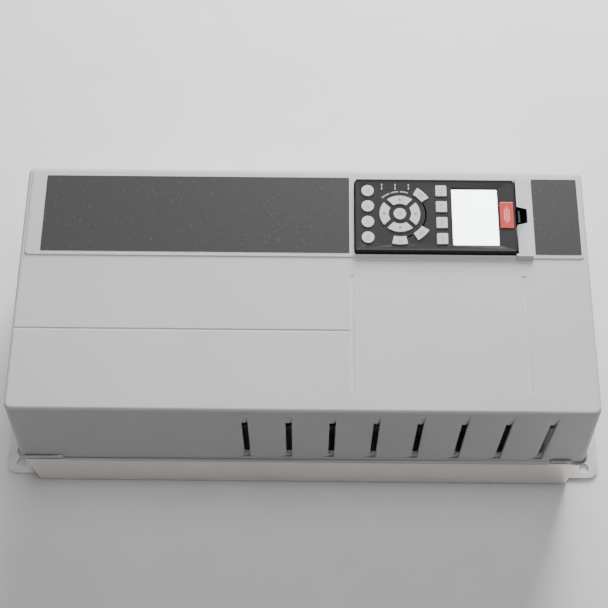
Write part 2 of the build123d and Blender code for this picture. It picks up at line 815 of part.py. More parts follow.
with BuildPart() as control_card:
    with BuildSketch(Plane.XY.offset(card_z)):
        with Locations((middle(tray_x), middle(tray_y))):
            Rectangle(reach(tray_x) - 3 * card_inset, reach(tray_y) - 2 * card_inset)
    extrude(amount=board_thick)
save(control_card, "control_card")

with BuildPart() as control_terminals:
    strips = [(x, strip_length) for x in strip_places] + [(relay_place, relay_length)]
    for x, length in strips:
        with BuildSketch(Plane.XY.offset(card_top)):
            with Locations((x, strip_y)):
                Rectangle(length, strip_width)
        extrude(amount=strip_height)
        with BuildSketch(Plane.XZ.offset(strip_width / 2 - strip_y)):
            with Locations((x, card_top + strip_height / 3)):
                with GridLocations(strip_pole, 1, int(length / strip_pole), 1):
                    Rectangle(strip_pole / 2, strip_pole / 2)
        extrude(amount=-strip_width / 2, mode=Mode.SUBTRACT)
save(control_terminals, "control_terminals")

with BuildPart() as panel_socket:
    with BuildSketch(Plane.XY.offset(card_top)):
        with Locations(plug_place):
            Rectangle(plug_size[0] + 2 * socket_wall, plug_size[1] + 2 * socket_wall)
    extrude(amount=socket_height)
    with BuildSketch(Plane.XY.offset(card_top + socket_height)):
        with Locations(plug_place):
            Rectangle(plug_size[0] + 2 * plug_fit, plug_size[1] + 2 * plug_fit)
    extrude(amount=-(card_top + socket_height - plug_bottom + socket_wall), mode=Mode.SUBTRACT)
save(panel_socket, "panel_socket")

# ======================= front cover =======================

# One louvre as a cutter for the right-hand side: a dent that gets deeper towards +X but stays
# inside the wall, and a slot right through along the dent's deep edge.
wall_y = [grown(cover_width, depth - below) / 2 for below in (louvre_start, louvre_full, louvre_end)]
louvre_deep = (louvre_shallow, louvre_depth, louvre_depth)
slot_top = depth - louvre_full
slot_foot = depth - louvre_end
with BuildPart() as louvre_cutter:
    for first in (0, 1):
        for step in (first, first + 1):
            below = (louvre_start, louvre_full, louvre_end)[step]
            with BuildSketch(Plane.XY.offset(depth - below)):
                with BuildLine():
                    Polyline((-louvre_width, -wall_y[step]), (0, louvre_deep[step] - wall_y[step]),
                             (0, -wall_y[step] - cover_wall), (-louvre_width, -wall_y[step] - cover_wall),
                             close=True)
                make_face()
        loft(ruled=True)
    with BuildSketch(Plane.XZ.offset(wall_y[0] - 3 * cover_wall)):
        with BuildLine():
            Polyline((-slot_width, slot_top + slot_notch), (-slot_width / 2, slot_top),
                     (0, slot_top + slot_notch), (0, slot_foot + slot_notch),
                     (-slot_width, slot_foot + slot_notch / 2), close=True)
        make_face()
    extrude(amount=wall_y[2] - wall_y[0] + 4 * cover_wall)
louvre_right = louvre_cutter.part
louvre_left = louvre_right.mirror(Plane.XZ)

with BuildPart() as front_cover:
    with BuildSketch(Plane.XY.offset(rim_z)):
        RectangleRounded(grown(cover_length, rim_z), grown(cover_width, rim_z), cover_corner)
    with BuildSketch(Plane.XY.offset(depth)):
        RectangleRounded(cover_length, cover_width, cover_corner)
    loft(ruled=True)
    fillet(faces().sort_by(Axis.Z)[-1].edges(), front_radius)
    # outward ledge along the rim, stepped up and cut away below at the pry tabs
    with BuildSketch(Plane.XY.offset(rim_z)):
        RectangleRounded(grown(cover_length, rim_z) + 2 * rim_ledge,
                         grown(cover_width, rim_z) + 2 * rim_ledge, cover_corner + rim_ledge)
    extrude(amount=rim_ledge_thick)
    rim_width = grown(cover_width, rim_z) + 2 * rim_ledge
    for tab in pry_tabs:
        with BuildSketch(Plane.XY.offset(rim_z)):
            with Locations((middle(tab), 0)):
                with GridLocations(1, rim_width, 1, 2):
                    Rectangle(reach(tab), 4 * cover_wall + 2 * rim_ledge)
        extrude(amount=pry_height, mode=Mode.SUBTRACT)
        with BuildSketch(Plane.XY.offset(rim_z + pry_height)):
            with Locations((middle(tab), 0)):
                Rectangle(reach(tab) - 2, rim_width)
        extrude(amount=rim_ledge_thick)
    # raised field that carries the labels and the control panel
    with BuildSketch(Plane.XY.offset(depth - front_radius)):
        with Locations((0, (field_low + field_high) / 2)):
            RectangleRounded(2 * field_x, field_high - field_low, front_radius)
    extrude(amount=front_radius + field_step)
    chamfer(faces().sort_by(Axis.Z)[-1].edges(), field_step / 2)
    # hollow
    with BuildSketch(Plane.XY.offset(rim_z)):
        RectangleRounded(grown(cover_length, rim_z) - 2 * cover_wall,
                         grown(cover_width, rim_z) - 2 * cover_wall, cover_corner - cover_wall)
    with BuildSketch(Plane.XY.offset(cavity_z)):
        RectangleRounded(grown(cover_length, cavity_z) - 2 * cover_wall,
                         grown(cover_width, cavity_z) - 2 * cover_wall, cover_corner - cover_wall)
    loft(ruled=True, mode=Mode.SUBTRACT)
    # opening for the control panel and the cradle's stem
    with BuildSketch(Plane.XY.offset(cavity_z)):
        hole_x = (panel_x[0] - hole_fit, notch_x + 3 * bridge_gap)
        with Locations((middle(hole_x), panel_centre[1])):
            RectangleRounded(reach(hole_x), panel_width + 2 * hole_fit, panel_corner)
    extrude(amount=cover_wall + field_step, mode=Mode.SUBTRACT)
    # louvres on both long sides
    louvre_places = [(cover_length / 2 - louvre_end_in - i * louvre_pitch, 0, 0)
                     for i in range(louvre_count)]
    with Locations(*louvre_places):
        add(louvre_right, mode=Mode.SUBTRACT)
        add(louvre_left, mode=Mode.SUBTRACT)
    # air openings at both ends, cable window at the low end, slots at the high end
    with BuildSketch(Plane.YZ):
        with Locations((0, (rim_z + air_top) / 2)):
            Rectangle(air_width, air_top - rim_z)
    extrude(amount=plate_length / 2, both=True, mode=Mode.SUBTRACT)
    with BuildSketch(Plane.YZ):
        with Locations((0, (cable_window_low + cable_window_high) / 2)):
            RectangleRounded(cable_window, cable_window_high - cable_window_low, window_corner)
    extrude(amount=-plate_length / 2, mode=Mode.SUBTRACT)
    with BuildSketch(Plane.YZ):
        with Locations((0, (end_slot_low + end_slot_high) / 2)):
            with GridLocations(end_slot_pitch, 1, end_slot_count, 1):
                SlotOverall(end_slot_high - end_slot_low, end_slot_width, rotation=90)
    extrude(amount=plate_length / 2, mode=Mode.SUBTRACT)
    # shallow grooves and the crease on the front face
    with BuildSketch(Plane.XY.offset(depth)):
        with Locations(*[(x, (groove_low + groove_high) / 2) for x in groove_places]):
            SlotOverall(groove_high - groove_low, groove_width, rotation=90)
    extrude(amount=-groove_depth, mode=Mode.SUBTRACT)
    with BuildSketch(Plane.YZ.offset(groove_places[0] - groove_width / 2)):
        with BuildLine():
            Polyline((crease_y - crease_width / 2, depth), (crease_y, depth - crease_depth),
                     (crease_y + crease_width / 2, depth), (crease_y, depth + crease_depth), close=True)
        make_face()
    extrude(amount=-cover_length, mode=Mode.SUBTRACT)

# The moulding is kept as its front, its two long sides and its two ends, cut behind the front
# and past the rounded corners.
with BuildPart() as cover_front:
    add(front_cover.part)
    split(bisect_by=Plane.XY.offset(cavity_z), keep=Keep.TOP)
save(cover_front, "cover_front")


def cover_walls(kept):
    """The cover's walls behind its front: what lies between the corners, or what lies past them."""
    with BuildPart() as walls:
        add(front_cover.part)
        split(bisect_by=Plane.XY.offset(cavity_z), keep=Keep.BOTTOM)
        with BuildSketch(Plane.XY):
            Rectangle(cover_length - 2 * corner_zone, 2 * cover_width)
        extrude(amount=depth, mode=kept)
    return walls


save(cover_walls(Mode.INTERSECT), "cover_sides")
save(cover_walls(Mode.SUBTRACT), "cover_ends")


def label_band(span):
    """A printed label set on the raised field."""
    with BuildPart() as band:
        with BuildSketch(Plane.XY.offset(field_z)):
            with Locations((middle(span), (label_low + label_high) / 2)):
                RectangleRounded(reach(span), label_high - label_low, label_corner)
        extrude(amount=label_thick)
    return band


save(label_band(long_label), "long_label_band")
save(label_band(short_label), "short_label_band")

# ======================= cradle for the control panel =======================

pocket_x = (panel_x[0] - cradle_fit, panel_x[1] + cradle_fit)
pocket_y = (panel_y[0] - cradle_fit, panel_y[1] + cradle_fit)
with BuildPart() as panel_cradle:
    with BuildSketch(Plane.XY.offset(cradle_floor_z)):
        block_span = (pocket_x[0] - cradle_wall, bridge_x[1] + 1)
        with Locations((middle(block_span), panel_centre[1])):
            RectangleRounded(reach(block_span), reach(pocket_y) + 2 * cradle_wall, panel_corner)
    extrude(amount=cavity_z - cradle_floor_z)
    # stem through the cover's opening, and the bridge across it
    with BuildSketch(Plane.XY.offset(cavity_z)):
        stem = (bridge_x[0], notch_x + 2 * bridge_gap)
        with Locations((middle(stem), panel_centre[1])):
            RectangleRounded(reach(stem), panel_width, panel_corner)
    extrude(amount=field_z - cavity_z)
    with BuildSketch(Plane.YZ.offset(bridge_x[0])):
        with BuildLine():
            Polyline((bridge_low[0], depth + bridge_gap), (bridge_low[1], depth + bridge_top),
                     (bridge_high[1], depth + bridge_top), (bridge_high[0], field_z),
                     (field_low - bridge_gap, field_z), (field_low - bridge_gap, depth + bridge_gap),
                     close=True)
        make_face()
    extrude(amount=reach(bridge_x))
    with BuildSketch(Plane.YZ.offset(bridge_foot_x)):
        with BuildLine():
            Polyline((bridge_low[0], depth + bridge_gap), (bridge_low[1], depth + bridge_top),
                     (pocket_y[0], depth + bridge_top), (pocket_y[0], field_z),
                     (field_low - bridge_gap, field_z), (field_low - bridge_gap, depth + bridge_gap),
                     close=True)
        make_face()
    extrude(amount=bridge_x[0] - bridge_foot_x)
    # pocket, finger notch and plug hole
    with BuildSketch(Plane.XY.offset(cradle_floor_z + cradle_floor)):
        with Locations(panel_centre):
            RectangleRounded(reach(pocket_x), reach(pocket_y), panel_corner)
    extrude(amount=cavity_z - cradle_floor_z - cradle_floor, mode=Mode.SUBTRACT)
    with BuildSketch(Plane.XY.offset(notch_floor_z)):
        with BuildLine():
            Polyline((pocket_x[1] - 1, notch_y - notch_near), (notch_x, notch_y - notch_far),
                     (notch_x, notch_y + notch_far), (pocket_x[1] - 1, notch_y + notch_near),
                     close=True)
        make_face()
    extrude(amount=depth + bridge_top - notch_floor_z, mode=Mode.SUBTRACT)
    with BuildSketch(Plane.XY.offset(cradle_floor_z)):
        with Locations(plug_place):
            Rectangle(plug_size[0] + 2, plug_size[1] + 2)
    extrude(amount=cradle_floor, mode=Mode.SUBTRACT)
save(panel_cradle, "panel_cradle")

# ======================= keys =======================


def key_face(name, z, grow=0.0):
    """Outline of one key on the plane at height z, made larger all round by grow."""
    with BuildSketch(Plane.XY.offset(z)) as outline:
        if name in round_y:
            with Locations((round_x, round_y[name])):
                Circle(round_key + grow)
        elif name in soft_y:
            with Locations((soft_x, soft_y[name])):
                RectangleRounded(soft_size[0] + 2 * grow, soft_size[1] + 2 * grow, soft_corner + grow)
        elif name == "key_ok":
            with Locations(ring_centre):
                Circle(round_key + grow)
        else:
            arrow = name in arrow_angle
            middle_angle = arrow_angle[name] if arrow else outer_angle[name]
            inner = arrow_inner if arrow else outer_inner
            outer = arrow_outer if arrow else outer_outer
            half_inner = 45 - degrees(asin(arrow_gap / 2 / inner)) if arrow else outer_half
            half_outer = 45 - degrees(asin(arrow_gap / 2 / outer)) if arrow else outer_half
            with BuildLine():
                low = ring_arc(inner, middle_angle, half_inner)
                high = ring_arc(outer, middle_angle, half_outer)
                Line(low @ 0, high @ 0)
                Line(low @ 1, high @ 1)
            make_face()
            fillet(vertices(), key_edge)
            if grow:
                offset(amount=grow)
    return outline.sketch


def ring_point(radius, angle):
    """A point at this radius and angle about the middle of the arrow ring."""
    return (ring_centre[0] + radius * cos(radians(angle)), ring_centre[1] + radius * sin(radians(angle)))


def ring_arc(radius, angle, half):
    return ThreePointArc(*[ring_point(radius, angle + turn) for turn in (-half, 0, half)])


def key_centre(name):
    """Middle of a key's face, where its plunger and its dome stand."""
    return tuple(key_face(name, 0).faces()[0].center())[:2]


def key(name):
    """A key cap: proud of the face, held in by a flange behind it, with a plunger below."""
    flange_top = face_z - face_thick - key_flange_gap
    with BuildPart() as cap:
        extrude(key_face(name, flange_top), amount=face_floor_z + key_proud - flange_top)
        fillet(faces().sort_by(Axis.Z)[-1].edges(), key_edge)
        extrude(key_face(name, flange_top, key_flange), amount=-key_flange_thick)
        with BuildSketch(Plane.XY.offset(face_z - key_bottom)):
            with Locations(key_centre(name)):
                Circle(plunger_radius)
        extrude(amount=key_bottom - face_thick - key_flange_gap - key_flange_thick)
    return cap


key_names = [*soft_y, *outer_angle, *arrow_angle, "key_ok", *round_y]
for name in key_names:
    save(key(name), name)

# ======================= control panel =======================


def panel_outline(z, inset=0.0):
    with BuildSketch(Plane.XY.offset(z)) as outline:
        with Locations(panel_centre):
            RectangleRounded(panel_length - 2 * inset, panel_width - 2 * inset, panel_corner - inset / 2)
    return outline.sketch


def light_outline(z, grow=0.0):
    """The three arc-shaped indicator lights above the arrow ring."""
    with BuildSketch(Plane.XY.offset(z)) as outline:
        for start, end in light_arcs:
            with BuildLine():
                half = (start - end) / 2
                inner = ring_arc(light_radius - light_width / 2 - grow, (start + end) / 2, half)
                outer = ring_arc(light_radius + light_width / 2 + grow, (start + end) / 2, half)
                Line(inner @ 0, outer @ 0)
                Line(inner @ 1, outer @ 1)
            make_face()
    return outline.sketch


with BuildPart() as panel_front:
    extrude(panel_outline(panel_split_z), amount=face_z - panel_split_z)
    fillet(faces().sort_by(Axis.Z)[-1].edges(), panel_edge)
    extrude(panel_outline(face_floor_z, face_border), amount=face_recess, mode=Mode.SUBTRACT)
    extrude(panel_outline(panel_split_z, panel_wall), amount=face_z - face_thick - panel_split_z,
            mode=Mode.SUBTRACT)
    with BuildSketch(Plane.XY.offset(face_z)):
        with Locations((middle(display_x), middle(display_y))):
            RectangleRounded(reach(display_x), reach(display_y), display_corner)
    extrude(amount=-face_thick, mode=Mode.SUBTRACT)
    for name in key_names:
        extrude(key_face(name, face_z, key_gap), amount=-face_thick, mode=Mode.SUBTRACT)
    extrude(light_outline(face_z), amount=-face_thick, mode=Mode.SUBTRACT)
save(panel_front, "panel_front")

with BuildPart() as panel_back:
    extrude(panel_outline(panel_back_z), amount=panel_split_z - panel_back_z)
    chamfer(faces().sort_by(Axis.Z)[0].edges(), panel_edge)
    extrude(panel_outline(panel_back_z + face_thick, panel_wall),
            amount=panel_split_z - panel_back_z - face_thick, mode=Mode.SUBTRACT)
    with BuildSketch(Plane.XY.offset(panel_back_z)):
        with Locations(plug_place):
            Rectangle(plug_size[0] + 1, plug_size[1] + 1)
    extrude(amount=face_thick, mode=Mode.SUBTRACT)
    with BuildSketch(Plane.YZ.offset(panel_x[1])):
        with Locations((notch_y, middle(tongue_z))):
            Rectangle(2 * (tongue_half + latch_gap), reach(tongue_z) + 2 * latch_gap)
    extrude(amount=-2 * panel_wall, mode=Mode.SUBTRACT)
    # posts that carry the circuit board
    with BuildSketch(Plane.XY.offset(panel_back_z + face_thick)):
        with Locations(panel_centre):
            with GridLocations(panel_length - 4 * panel_corner, panel_width - 4 * panel_corner, 2, 2):
                Circle(2 * board_screw)
    extrude(amount=panel_board_z - panel_back_z - face_thick)
save(panel_back, "panel_back")

with BuildPart() as panel_board:
    extrude(panel_outline(panel_board_z, 2 * panel_wall), amount=board_thick)
save(panel_board, "panel_board")

with BuildPart() as key_domes:
    with BuildSketch(Plane.XY.offset(panel_board_top)):
        with Locations(*[key_centre(name) for name in key_names]):
            Circle(dome_radius)
    extrude(amount=dome_height)
    fillet(faces().group_by(Axis.Z)[-1].edges(), dome_height / 2)
save(key_domes, "key_domes")

with BuildPart() as light_guides:
    extrude(light_outline(panel_board_top), amount=face_z - panel_board_top)
save(light_guides, "light_guides")

with BuildPart() as display_module:
    with BuildSketch(Plane.XY.offset(panel_board_top)):
        with Locations((middle(display_x), middle(display_y))):
            Rectangle(reach(display_x) + 2 * display_tuck, reach(display_y) + 2 * display_tuck)
    extrude(amount=face_z - face_thick - panel_board_top)
save(display_module, "display_module")

with BuildPart() as display_window:
    with BuildSketch(Plane.XY.offset(face_floor_z - display_sink)):
        with Locations((middle(display_x), middle(display_y))):
            RectangleRounded(reach(display_x), reach(display_y), display_corner)
    extrude(amount=-display_thick)
save(display_window, "display_window")

with BuildPart() as panel_badge:
    with BuildSketch(Plane.XY.offset(face_floor_z)):
        with Locations((middle(badge_x), middle(badge_y))):
            RectangleRounded(reach(badge_x), reach(badge_y), badge_corner)
    extrude(amount=badge_thick)
    chamfer(faces().sort_by(Axis.Z)[-1].edges(), badge_thick / 3)
save(panel_badge, "panel_badge")

with BuildPart() as panel_plug:
    with BuildSketch(Plane.XY.offset(panel_board_z)):
        with Locations(plug_place):
            Rectangle(*plug_size)
    extrude(amount=plug_bottom - panel_board_z)
    chamfer(faces().sort_by(Axis.Z)[0].edges(), plug_edge)
save(panel_plug, "panel_plug")

with BuildPart() as panel_latch:
    with BuildSketch(Plane.YZ.offset(latch_x[0])):
        with Locations((notch_y, middle(latch_z))):
            Rectangle(2 * latch_half, reach(latch_z))
    extrude(amount=reach(latch_x))
    fillet(edges().filter_by(Axis.Y).group_by(Axis.Z)[-1], reach(latch_x) / 3)
    with BuildSketch(Plane.YZ.offset(latch_x[0])):
        with Locations((notch_y, middle(tongue_z))):
            Rectangle(2 * tongue_half, reach(tongue_z))
    extrude(amount=tongue_start - latch_x[0])
save(panel_latch, "panel_latch")
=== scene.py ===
import bpy
import json
from math import atan2, cos, pi, radians, sin
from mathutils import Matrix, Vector

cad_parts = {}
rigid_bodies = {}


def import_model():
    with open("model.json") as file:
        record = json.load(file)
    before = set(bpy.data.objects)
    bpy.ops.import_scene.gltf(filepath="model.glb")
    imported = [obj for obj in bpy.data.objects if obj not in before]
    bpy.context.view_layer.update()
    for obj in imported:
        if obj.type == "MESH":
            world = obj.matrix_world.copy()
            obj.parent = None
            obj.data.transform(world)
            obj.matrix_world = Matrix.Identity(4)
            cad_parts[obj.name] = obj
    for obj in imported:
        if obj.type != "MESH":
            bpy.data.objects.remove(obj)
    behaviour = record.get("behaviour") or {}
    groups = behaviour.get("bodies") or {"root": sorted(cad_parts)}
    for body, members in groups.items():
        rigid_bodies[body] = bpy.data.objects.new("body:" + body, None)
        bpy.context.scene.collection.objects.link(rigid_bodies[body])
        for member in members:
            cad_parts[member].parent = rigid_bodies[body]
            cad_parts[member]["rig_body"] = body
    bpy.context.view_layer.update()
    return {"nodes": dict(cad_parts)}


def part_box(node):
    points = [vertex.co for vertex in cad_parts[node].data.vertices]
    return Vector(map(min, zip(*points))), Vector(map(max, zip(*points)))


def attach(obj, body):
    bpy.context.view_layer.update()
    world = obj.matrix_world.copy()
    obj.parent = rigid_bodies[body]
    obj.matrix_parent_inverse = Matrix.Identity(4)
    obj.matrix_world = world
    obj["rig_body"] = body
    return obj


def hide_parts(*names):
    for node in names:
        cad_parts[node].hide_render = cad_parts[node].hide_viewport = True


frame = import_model()

# ---------------------------------------------------------------- base and back plate
# The drive stands on a folded steel tub, powder coated warm grey, riveted to a zinc-plated back
# plate whose ears take the four wall screws.

MM = 0.001


def pick(*pieces):
    """Select these pieces only, the first one active."""
    if bpy.context.object and bpy.context.object.mode != "OBJECT":
        bpy.ops.object.mode_set(mode="OBJECT")
    bpy.ops.object.select_all(action="DESELECT")
    for piece in pieces:
        piece.select_set(True)
    bpy.context.view_layer.objects.active = pieces[0]


def node_chain(material):
    """The material's nodes, links, main shader and a texture coordinate node."""
    tree = material.node_tree
    shader = tree.nodes["Principled BSDF"]
    coords = tree.nodes.new("ShaderNodeTexCoord")
    return tree.nodes, tree.links, shader, coords


def noise_on(nodes, links, coords, scale, detail=3.0, stretch=(1, 1, 1)):
    """A noise texture on Object coordinates, in repeats per metre, stretched by axis."""
    mapping = nodes.new("ShaderNodeMapping")
    mapping.inputs["Scale"].default_value = stretch
    noise = nodes.new("ShaderNodeTexNoise")
    noise.inputs["Scale"].default_value = scale
    noise.inputs["Detail"].default_value = detail
    links.new(coords.outputs["Object"], mapping.inputs["Vector"])
    links.new(mapping.outputs["Vector"], noise.inputs["Vector"])
    return noise.outputs["Fac"]


def spread(nodes, links, source, low, high, start=0.3, end=0.7):
    """Maps a 0-1 pattern onto the range low..high."""
    ramp = nodes.new("ShaderNodeMapRange")
    ramp.inputs["From Min"].default_value = start
    ramp.inputs["From Max"].default_value = end
    ramp.inputs["To Min"].default_value = low
    ramp.inputs["To Max"].default_value = high
    links.new(source, ramp.inputs["Value"])
    return ramp.outputs["Result"]


def two_tone(nodes, links, shader, factor, dark, light):
    """Mixes two colours by a pattern into the shader's base colour."""
    mix = nodes.new("ShaderNodeMix")
    mix.data_type = "RGBA"
    mix.inputs["A"].default_value = (*dark, 1)
    mix.inputs["B"].default_value = (*light, 1)
    links.new(factor, mix.inputs["Factor"])
    links.new(mix.outputs["Result"], shader.inputs["Base Color"])
    return mix


def bumped(nodes, links, shader, height, depth, strength=1.0):
    """A height pattern as a bump, depth in metres."""
    bump = nodes.new("ShaderNodeBump")
    bump.inputs["Strength"].default_value = strength
    bump.inputs["Distance"].default_value = depth
    links.new(height, bump.inputs["Height"])
    links.new(bump.outputs["Normal"], shader.inputs["Normal"])


def surface(name, dark, light, rough, grain, depth, metal=0.0, cloud=18.0, stretch=(1, 1, 1)):
    """A finish with cloudy colour variation, uneven gloss and a fine grain."""
    material = bpy.data.materials.new(name)
    material.use_nodes = True
    nodes, links, shader, coords = node_chain(material)
    shader.inputs["Metallic"].default_value = metal
    tone = spread(nodes, links, noise_on(nodes, links, coords, cloud), 0, 1)
    two_tone(nodes, links, shader, tone, dark, light)
    fine = noise_on(nodes, links, coords, grain, 2.0, stretch)
    links.new(spread(nodes, links, fine, rough - 0.06, rough + 0.06), shader.inputs["Roughness"])
    bumped(nodes, links, shader, fine, depth)
    return material


def coat(node, material):
    """Gives a CAD node this material."""
    for holder in frame["nodes"][node].material_slots:
        holder.material = material


def refined(node, material, body, slot, angle=32, flat=None):
    """A merged copy of a CAD node with smooth curved faces and true flat ones."""
    pick(frame["nodes"][node])
    bpy.ops.object.duplicate()
    piece = bpy.context.object
    piece.name = node + "_skin"
    bpy.ops.object.mode_set(mode="EDIT")
    bpy.ops.mesh.select_all(action="SELECT")
    bpy.ops.mesh.remove_doubles(threshold=0.002 * MM)
    bpy.ops.object.mode_set(mode="OBJECT")
    bpy.ops.object.shade_smooth_by_angle(angle=radians(angle))
    if flat:
        for face in piece.data.polygons:
            if flat(face):
                face.use_smooth = False
    weighted = piece.modifiers.new("weighted", "WEIGHTED_NORMAL")
    weighted.keep_sharp = True
    bpy.ops.object.modifier_apply(modifier=weighted.name)
    for key in [key for key in piece.keys() if key.startswith("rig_")]:
        del piece[key]
    return settled(piece, material, body, slot, node)


def settled(piece, material, body, slot, *nodes):
    """Applies the piece's place, gives it its material, and tells the frame where it belongs."""
    pick(piece)
    bpy.ops.object.transform_apply(location=True, rotation=True, scale=True)
    piece.data.materials.clear()
    piece.data.materials.append(material)
    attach(piece, body)
    if nodes:
        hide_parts(*nodes)
    return piece


base_paint = surface("base_paint", (0.82, 0.76, 0.725), (0.88, 0.82, 0.785), 0.34, 2200, 0.00002,
                     metal=0.85)
zinc_plate = surface("zinc_plate", (0.50, 0.51, 0.52), (0.66, 0.67, 0.68), 0.38, 900, 0.00001,
                     metal=0.9, cloud=60)
coat("base_housing", base_paint)
coat("back_plate", zinc_plate)

# ---------------------------------------------------------------- heat sink
# One aluminium extrusion with straight fins; the die leaves fine lines along its length.

extruded = surface("extruded_aluminium", (0.62, 0.63, 0.64), (0.72, 0.73, 0.74), 0.34, 900, 0.000012,
                   metal=1.0, stretch=(0.02, 1, 1))
coat("heat_sink", extruded)

# ---------------------------------------------------------------- fans
# Two 80 mm axial fans: moulded black frames and impellers, with a guard of bent, plated wire
# screwed over each inlet.

fan_plastic = surface("fan_plastic", (0.018, 0.018, 0.019), (0.03, 0.03, 0.031), 0.45, 1500, 0.00002)
guard_wire = surface("guard_wire", (0.55, 0.56, 0.58), (0.66, 0.67, 0.69), 0.22, 800, 0.000004, metal=1.0)
for node in ("fan_frames", "fan_rotor_left", "fan_rotor_right"):
    refined(node, fan_plastic, frame["nodes"][node]["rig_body"], "fan_black")

guard_low, guard_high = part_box("fan_guards")
guard_radius = (guard_high.x - guard_low.x) / 2
guard_x = (guard_low.x + guard_high.x) / 2
guard_z = (guard_low.z + guard_high.z) / 2
guard_reach = (guard_high.z - guard_low.z) / 2
guards = []
for side in (-1, 1):
    rotor_low, rotor_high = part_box("fan_rotor_left" if side > 0 else "fan_rotor_right")
    centre = Vector((guard_x, (rotor_low.y + rotor_high.y) / 2, guard_z))
    for ring in range(1, 5):
        bpy.ops.mesh.primitive_torus_add(
            location=centre, rotation=(0, pi / 2, 0), major_radius=ring * guard_reach / 4.45,
            minor_radius=guard_radius * 0.8, major_segments=56, minor_segments=8)
        guards.append(bpy.context.object)
    for turn in (1, 3, 5, 7):
        out = Vector((0, cos(turn * pi / 4), sin(turn * pi / 4)))
        foot = centre + out * (guard_reach - 4 * MM) * 2 ** 0.5
        bpy.ops.mesh.primitive_torus_add(location=foot, rotation=(0, pi / 2, 0), major_radius=3.0 * MM,
                                         minor_radius=guard_radius * 0.8, major_segments=20, minor_segments=8)
        guards.append(bpy.context.object)
        start = centre + out * guard_reach / 4.45
        end = foot - out * 3.0 * MM
        bpy.ops.mesh.primitive_cylinder_add(
            vertices=8, radius=guard_radius * 0.8, depth=(end - start).length,
            location=(start + end) / 2, rotation=(0, 0, 0))
        bpy.context.object.rotation_euler = (-atan2(out.y, out.z), 0, 0)
        guards.append(bpy.context.object)
pick(*guards)
bpy.ops.object.join()
guard = bpy.context.object
guard.name = "guard_wires"
bpy.ops.object.shade_smooth_by_angle(angle=radians(50))
settled(guard, guard_wire, "chassis", "guard_steel", "fan_guards")

# ---------------------------------------------------------------- power parts
# Moulded power modules screwed to the heat sink under the power board, which carries the
# capacitors, filter coils, current sensors and copper bars; two chokes stand beside it.

module_resin = surface("module_resin", (0.025, 0.025, 0.027), (0.045, 0.045, 0.048), 0.5, 1800, 0.00003)
screw_zinc = surface("screw_zinc", (0.60, 0.60, 0.58), (0.70, 0.70, 0.66), 0.28, 700, 0.000004, metal=1.0)
brass = surface("brass", (0.60, 0.44, 0.19), (0.70, 0.54, 0.26), 0.30, 700, 0.000004, metal=1.0)
copper = surface("copper", (0.62, 0.29, 0.16), (0.74, 0.37, 0.22), 0.30, 300, 0.000006, metal=1.0)
core_lacquer = surface("core_lacquer", (0.09, 0.09, 0.095), (0.14, 0.14, 0.145), 0.42, 2600, 0.00006,
                       metal=0.5, stretch=(0.03, 1, 0.03))
dark_plastic = surface("dark_plastic", (0.035, 0.035, 0.038), (0.055, 0.055, 0.058), 0.48, 1600, 0.00002)


def solder_mask(name, dark, light):
    """Green board lacquer over a web of copper tracks."""
    material = bpy.data.materials.new(name)
    material.use_nodes = True
    nodes, links, shader, coords = node_chain(material)
    tracks = nodes.new("ShaderNodeTexBrick")
    tracks.inputs["Scale"].default_value = 150
    tracks.inputs["Mortar Size"].default_value = 0.09
    tracks.inputs["Color1"].default_value = (1, 1, 1, 1)
    tracks.inputs["Color2"].default_value = (0.8, 0.8, 0.8, 1)
    tracks.inputs["Mortar"].default_value = (0, 0, 0, 1)
    links.new(coords.outputs["Object"], tracks.inputs["Vector"])
    two_tone(nodes, links, shader, tracks.outputs["Color"], dark, light)
    bumped(nodes, links, shader, tracks.outputs["Fac"], 0.00003)
    shader.inputs["Roughness"].default_value = 0.3
    shader.inputs["Coat Weight"].default_value = 0.4
    return material


board_mask = solder_mask("board_mask", (0.008, 0.06, 0.025), (0.014, 0.11, 0.045))
for node in ("inverter_module", "rectifier_module"):
    refined(node, module_resin, "chassis", "module_black")
refined("inner_screws", screw_zinc, "chassis", "screw_steel")
for node in ("power_board", "control_card", "panel_board"):
    coat(node, board_mask)
for node in ("board_pillars", "earth_bar"):
    coat(node, brass)
coat("busbars", copper)
coat("choke_cores", core_lacquer)
coat("current_sensors", dark_plastic)

# ---------------------------------------------------------------- capacitors
# Eight electrolytic cans in shrink sleeve; the sleeve folds over the rim and leaves the
# aluminium top, scored with a cross so that it can vent.

def block(place, size, edge, turn=0.0):
    """A block with its edges rounded over, turned about the upright."""
    bpy.ops.mesh.primitive_cube_add(size=1, location=place, rotation=(0, 0, turn), scale=size)
    piece = bpy.context.object
    bpy.ops.object.transform_apply(location=False, rotation=False, scale=True)
    rounding = piece.modifiers.new("edge", "BEVEL")
    rounding.width = edge
    rounding.segments = 2
    bpy.ops.object.modifier_apply(modifier=rounding.name)
    return piece


def joined(pieces, name):
    """One object from several."""
    pick(*pieces)
    if len(pieces) > 1:
        bpy.ops.object.join()
    piece = bpy.context.object
    piece.name = name
    return piece


